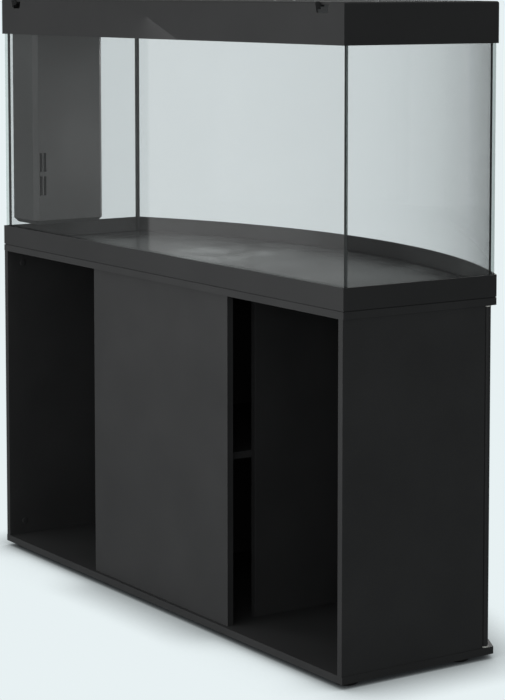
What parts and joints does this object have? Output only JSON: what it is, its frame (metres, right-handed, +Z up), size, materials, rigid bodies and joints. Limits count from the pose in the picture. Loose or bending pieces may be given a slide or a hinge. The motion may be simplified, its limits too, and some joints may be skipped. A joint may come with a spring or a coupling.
{
  "type": "aquarium on stand",
  "caption": "Bow-fronted glass aquarium with hinged hood lids and an inner filter box, standing on a black cabinet with swinging doors and open rear bays.",
  "frame": {"origin": "on the floor, at the middle of the overall length and depth", "axes": "+Z up, the bowed front faces -Y, the flat rear faces +Y, +X to the right as seen from the front"},
  "size_m": [1.51, 0.61, 1.44],
  "materials": {
    "cabinet_board": "fine-grained matt black laminate",
    "door_board": "fine-grained matt black laminate",
    "black_plastic": "satin black moulded plastic",
    "filter_plastic": "satin black moulded plastic",
    "inner_plastic": "plain dark grey moulded plastic",
    "clear_glass": "clear float glass",
    "silicone": "black silicone bead",
    "light_metal": "satin anodised",
    "lamp_cover": "clear ribbed cover",
    "lamp_tube": "frosted white",
    "steel": "zinc plated",
    "zinc": "die-cast zinc",
    "raw_wood": "plain beech",
    "foot_plastic": "hard black plastic",
    "handle_metal": "satin black coat",
    "nylon": "plain nylon",
    "catch_plastic": "plain black plastic",
    "coarse_foam": "open-cell filter foam",
    "fine_foam": "fine filter foam",
    "ceramic": "glazed ceramic",
    "magnet": "moulded magnet",
    "heater_glass": "smoked tube",
    "pad_rubber": "black rubber pad"
  },
  "bodies": {
    "stand": {"bottom_board": "cabinet_board", "top_board": "cabinet_board", "side_panel_left": "cabinet_board", "side_panel_right": "cabinet_board", "divider_left": "cabinet_board", "divider_right": "cabinet_board", "back_panel": "cabinet_board", "shelf": "cabinet_board", "shelf_pins": "steel", "cam_locks": "zinc", "cam_bolts": "steel", "wood_dowels": "raw_wood", "feet": "foot_plastic", "door_bushes": "nylon", "magnet_catches": "catch_plastic", "bottom_frame": "black_plastic", "floor_pane": "clear_glass", "rear_pane": "clear_glass", "left_pane": "clear_glass", "right_pane": "clear_glass", "bow_pane": "clear_glass", "silicone_seals": "silicone", "cross_ties": "clear_glass", "hood_frame": "black_plastic", "light_housing": "light_metal", "light_cover": "lamp_cover", "led_tubes": "lamp_tube", "lid_hinge_rods": "steel", "filter_box": "filter_plastic", "filter_partition": "inner_plastic", "filter_pads": "pad_rubber", "filter_basket_lower": "inner_plastic", "filter_basket_upper": "inner_plastic", "sponge_coarse": "coarse_foam", "sponge_fine": "fine_foam", "pump_housing": "inner_plastic", "pump_cover": "inner_plastic", "pump_shaft": "ceramic", "heater": "heater_glass"},
    "door_left_leaf": {"door_left": "door_board", "handle_left": "handle_metal", "strike_plate_left": "steel", "door_fasteners_left": "steel"},
    "door_middle_leaf": {"door_middle": "door_board", "handle_middle": "handle_metal", "strike_plate_middle": "steel", "door_fasteners_middle": "steel"},
    "door_right_leaf": {"door_right": "door_board", "handle_right": "handle_metal", "strike_plate_right": "steel", "door_fasteners_right": "steel"},
    "lid_front_left": {"hood_lid_front_left": "black_plastic"},
    "lid_front_right": {"hood_lid_front_right": "black_plastic"},
    "lid_rear_left": {"hood_lid_rear_left": "black_plastic"},
    "lid_rear_right": {"hood_lid_rear_right": "black_plastic"},
    "filter_cover": {"filter_lid": "filter_plastic"},
    "nozzle": {"outlet_nozzle": "filter_plastic"},
    "dial": {"heater_knob": "inner_plastic"},
    "rotor": {"pump_rotor": "magnet"}
  },
  "joints": [
    {"name": "door_left_hinge", "type": "hinge", "parent": "stand", "child": "door_left_leaf", "pos_m": [-0.7455, -0.087, 0.406], "axis": [0, 0, -1], "range_deg": [0, 105]},
    {"name": "door_middle_hinge", "type": "hinge", "parent": "stand", "child": "door_middle_leaf", "pos_m": [-0.2525, -0.265, 0.406], "axis": [0, 0, -1], "range_deg": [0, 105]},
    {"name": "door_right_hinge", "type": "hinge", "parent": "stand", "child": "door_right_leaf", "pos_m": [0.7455, -0.087, 0.406], "axis": [0, 0, 1], "range_deg": [0, 105]},
    {"name": "lid_front_left_hinge", "type": "hinge", "parent": "stand", "child": "lid_front_left", "pos_m": [-0.37075, -0.067, 1.434], "axis": [-1, 0, 0], "range_deg": [0, 100]},
    {"name": "lid_front_right_hinge", "type": "hinge", "parent": "stand", "child": "lid_front_right", "pos_m": [0.37075, -0.067, 1.434], "axis": [-1, 0, 0], "range_deg": [0, 100]},
    {"name": "lid_rear_left_hinge", "type": "hinge", "parent": "stand", "child": "lid_rear_left", "pos_m": [-0.37075, 0.037, 1.434], "axis": [1, 0, 0], "range_deg": [0, 100]},
    {"name": "lid_rear_right_hinge", "type": "hinge", "parent": "stand", "child": "lid_rear_right", "pos_m": [0.37075, 0.037, 1.434], "axis": [1, 0, 0], "range_deg": [0, 100]},
    {"name": "filter_cover_lift", "type": "slide", "parent": "stand", "child": "filter_cover", "axis": [0, 0, 1], "range_m": [0, 0.028]},
    {"name": "nozzle_swivel", "type": "hinge", "parent": "stand", "child": "nozzle", "pos_m": [0.602, 0.248, 1.362], "axis": [1, 0, 0], "range_deg": [-60, 60]},
    {"name": "dial_turn", "type": "hinge", "parent": "stand", "child": "dial", "pos_m": [0.715, 0.248, 1.367], "axis": [0, 0, 1], "range_deg": [0, 270]},
    {"name": "rotor_spin", "type": "hinge", "parent": "stand", "child": "rotor", "pos_m": [0.658, 0.248, 1.233], "axis": [0, 0, 1], "continuous": true}
  ]
}
